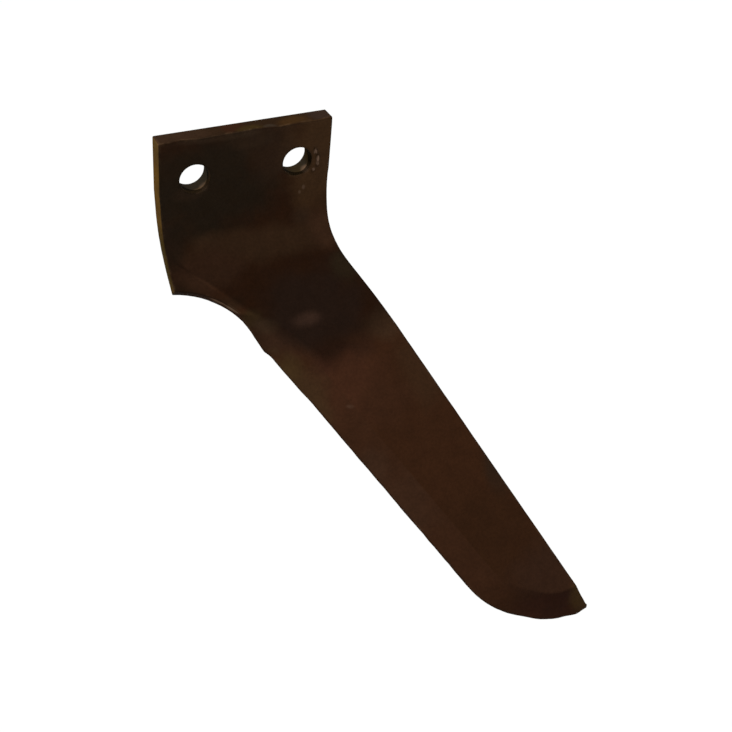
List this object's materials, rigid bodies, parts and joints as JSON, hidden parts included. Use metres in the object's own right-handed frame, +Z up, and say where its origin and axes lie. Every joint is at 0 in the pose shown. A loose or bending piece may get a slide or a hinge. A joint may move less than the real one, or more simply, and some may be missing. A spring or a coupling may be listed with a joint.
{
  "type": "rotary tiller blade",
  "caption": "Forged blade for an upright-rotor tiller: a flat drilled head that bolts to a flange, a gentle bend, and a long leaning knife with a bevelled leading edge and a rounded tip.",
  "frame": {"origin": "midway between the bolt holes, on the flat back face that meets the flange", "axes": "+Y out of the back face towards the flange, +Z up to the head's top edge, +X across the head to the side that the knife leans to"},
  "size_m": [0.1963, 0.2028, 0.2473],
  "materials": {
    "forged_steel": "dark brown, heat-treated and oiled forged steel, semi-gloss"
  },
  "bodies": {
    "root": {"tine_blade": "forged_steel"}
  },
  "joints": []
}
